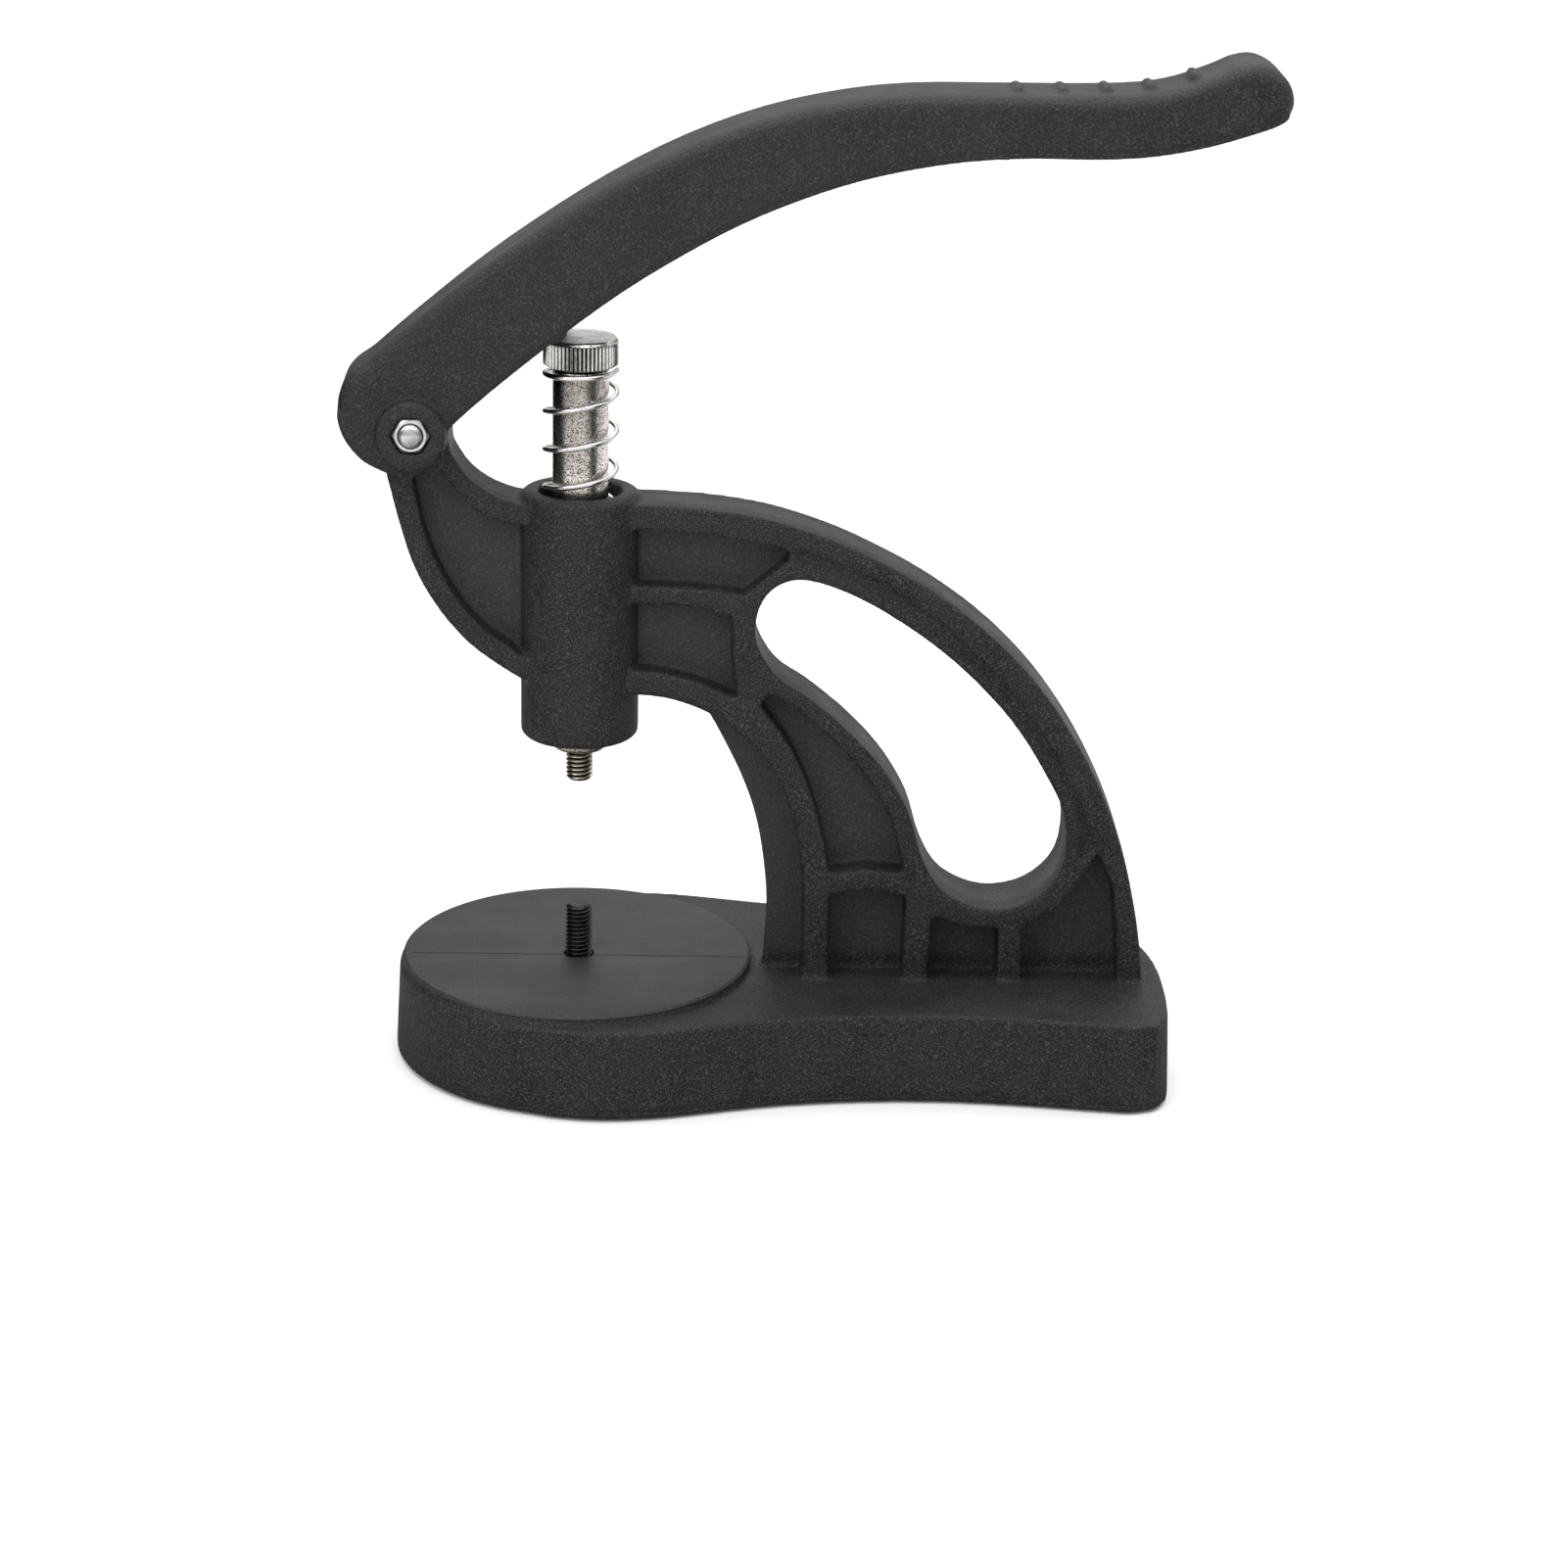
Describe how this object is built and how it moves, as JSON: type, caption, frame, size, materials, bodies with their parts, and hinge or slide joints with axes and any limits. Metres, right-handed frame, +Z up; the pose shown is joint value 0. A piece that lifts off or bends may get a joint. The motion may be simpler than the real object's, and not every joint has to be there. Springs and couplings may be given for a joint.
{
  "type": "watch case press",
  "caption": "Hand-lever press for watch case backs: arched moulded frame, curved lever, sprung ram with a knurled knob, threaded studs for dies.",
  "frame": {"origin": "centre of the bounding box's underside, on the plane that the rubber feet stand on", "axes": "+Z up, +X from the pivot towards the lever's free end, +Y away from the side with the pivot nut; Y = 0 is the mid-plane"},
  "size_m": [0.1997, 0.0867, 0.2263],
  "materials": {
    "frame_plastic": "black glass-filled moulding with a fine pitted grain",
    "lever_plastic": "black glass-filled moulding, a little smoother on the grip",
    "nickel_rod": "nickel plate over a pitted drawn bar",
    "nickel_knob": "bright nickel plate, knurled side and plain top",
    "nickel_stud": "bright nickel plated thread",
    "spring_wire": "bright drawn spring wire",
    "black_oxide": "black oxide on a steel thread",
    "zinc_bolt": "zinc plate",
    "zinc_nut": "zinc plate",
    "foot_rubber": "plain black rubber"
  },
  "bodies": {
    "stand": {"frame": "frame_plastic", "base_bolt": "black_oxide", "return_spring": "spring_wire", "foot_front_left": "foot_rubber", "foot_front_right": "foot_rubber", "foot_rear_left": "foot_rubber", "foot_rear_right": "foot_rubber"},
    "lever": {"lever": "lever_plastic", "pivot_bolt": "zinc_bolt", "pivot_nut": "zinc_nut"},
    "ram": {"ram_rod": "nickel_rod", "ram_knob": "nickel_knob", "ram_stud": "nickel_stud"}
  },
  "joints": [
    {"name": "lever_hinge", "type": "hinge", "parent": "stand", "child": "lever", "pos_m": [-0.084, 0, 0.1459], "axis": [0, 1, 0], "range_deg": [0, 25]},
    {"name": "ram_slide", "type": "slide", "parent": "stand", "child": "ram", "axis": [0, 0, -1], "range_m": [0, 0.01492], "stiffness_N_per_m": 900, "springref_m": -0.01, "deforming": ["return_spring"]}
  ],
  "couplings": [
    {"joint": "ram_slide", "follows": "lever_hinge", "m_per_rad": 0.0342}
  ]
}
